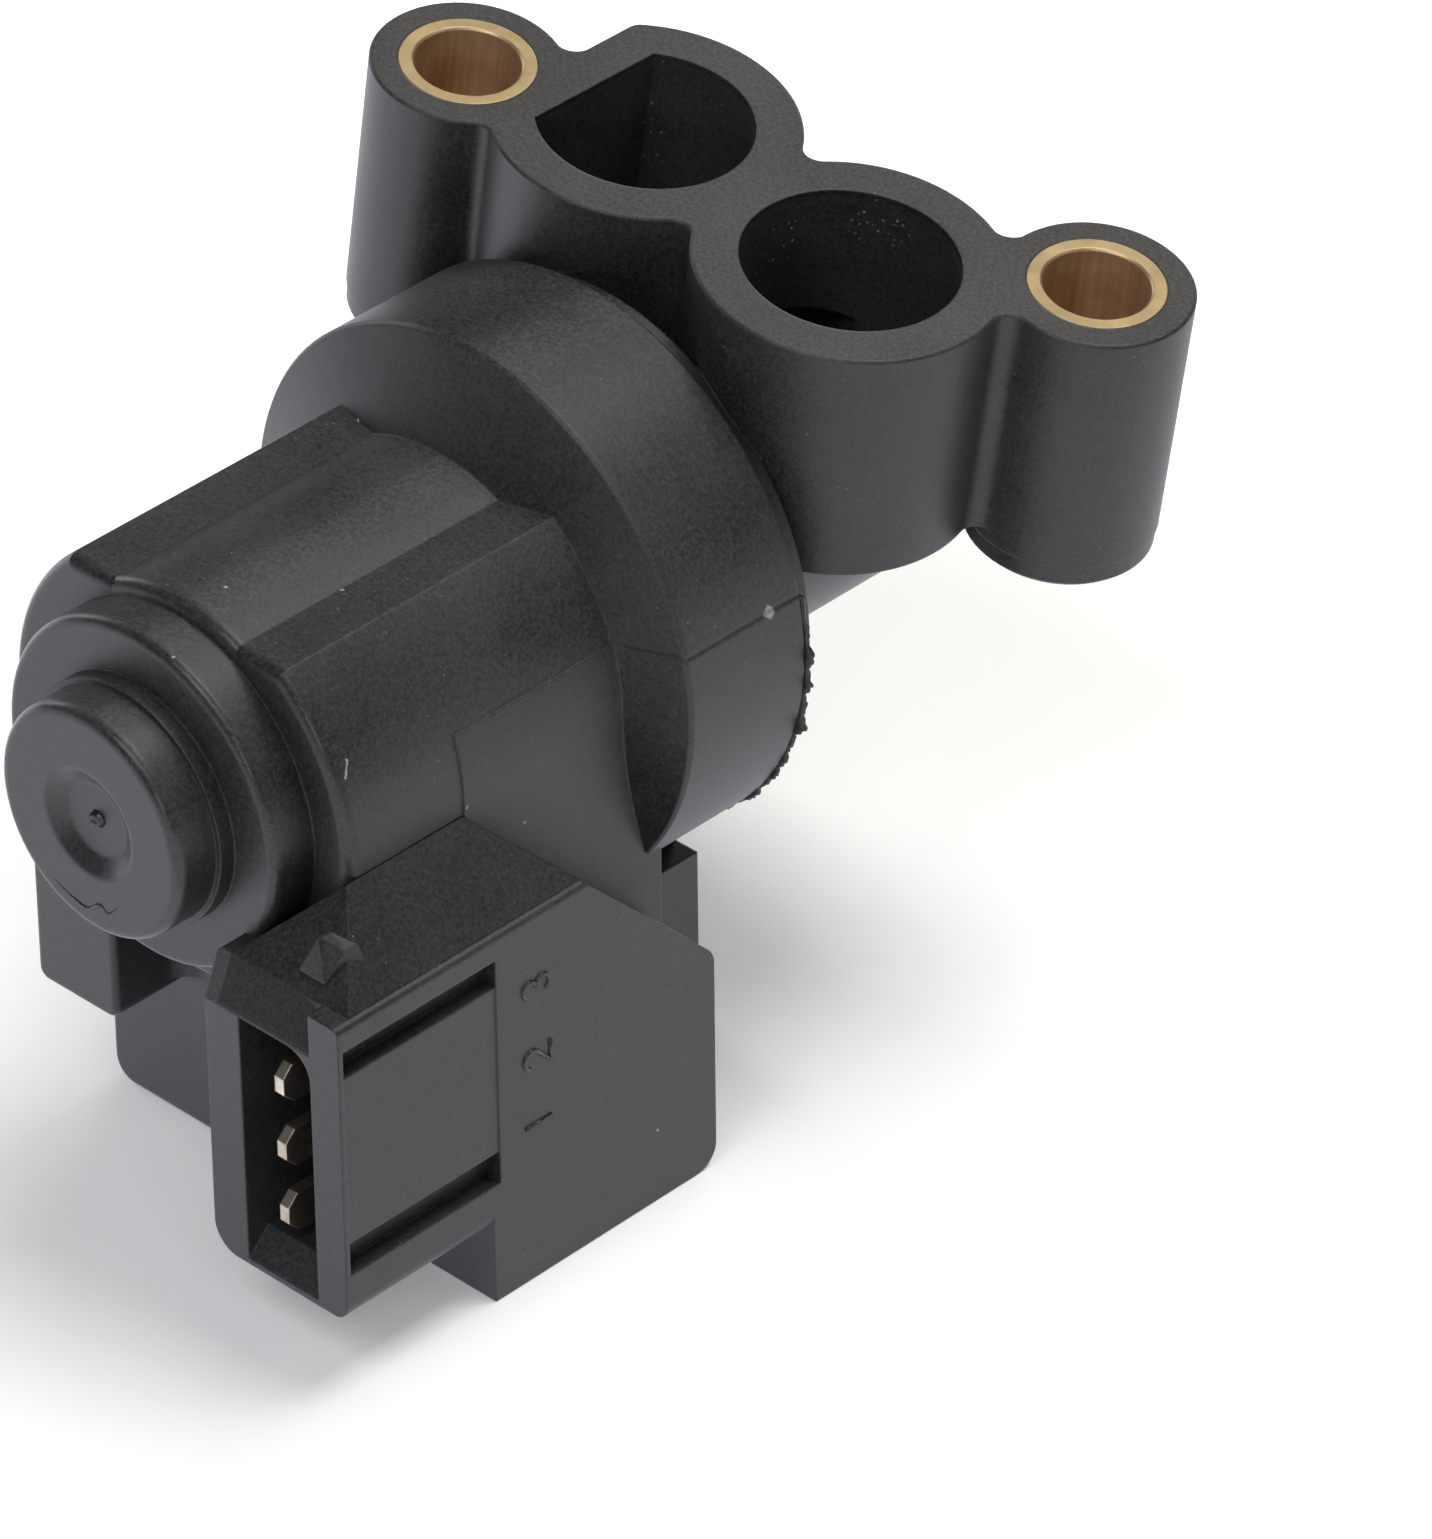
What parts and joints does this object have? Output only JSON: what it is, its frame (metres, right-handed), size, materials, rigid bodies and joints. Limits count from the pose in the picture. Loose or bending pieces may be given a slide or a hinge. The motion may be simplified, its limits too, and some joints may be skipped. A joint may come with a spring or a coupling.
{
  "type": "idle air control valve",
  "caption": "Rotary idle air control valve: black moulded motor housing with a blade connector, and a lobed port flange with brass-bushed bolt ears round a turning slide.",
  "frame": {"origin": "centre of the two-bolt circle, on the port flange's face", "axes": "+Z out of the flange face, away from the valve; -Y along the rotor axis towards the motor's nose"},
  "size_m": [0.054, 0.0725, 0.0587],
  "materials": {
    "black_plastic": "satin moulded black",
    "brass": "turned, dull",
    "tinned_blade": "tinned, worn at the tips",
    "soft_iron": "oiled",
    "bobbin_plastic": "natural",
    "copper_wire": "enamelled",
    "steel": "ground",
    "magnet": "sintered",
    "bearing_bronze": "oil-soaked sintered bronze",
    "die_cast": "die-cast",
    "slide_plastic": "moulded",
    "rubber": "moulded"
  },
  "bodies": {
    "housing": {"motor_housing": "black_plastic", "valve_housing": "black_plastic", "bush_left": "brass", "bush_right": "brass", "terminal_1": "tinned_blade", "terminal_2": "tinned_blade", "terminal_3": "tinned_blade", "stator_yoke": "soft_iron", "pole_left": "soft_iron", "pole_right": "soft_iron", "bobbin_left": "bobbin_plastic", "bobbin_right": "bobbin_plastic", "winding_left": "copper_wire", "winding_right": "copper_wire", "bearing_plate": "die_cast", "stop_pin": "steel", "nose_bearing": "bearing_bronze", "plate_bearing": "bearing_bronze", "shaft_seal": "rubber", "front_thrust_washer": "steel", "rear_thrust_washer": "steel", "spring_washer": "steel", "o_ring": "rubber"},
    "rotor": {"rotor_shaft": "steel", "retaining_clip": "steel", "magnet_core": "soft_iron", "upper_magnet": "magnet", "lower_magnet": "magnet", "stop_disc": "steel", "slide_valve": "slide_plastic"}
  },
  "joints": [
    {"name": "rotor_turn", "type": "hinge", "parent": "housing", "child": "rotor", "pos_m": [0, -0.0249, -0.023], "axis": [0, 1, 0], "range_deg": [-25, 25]}
  ]
}
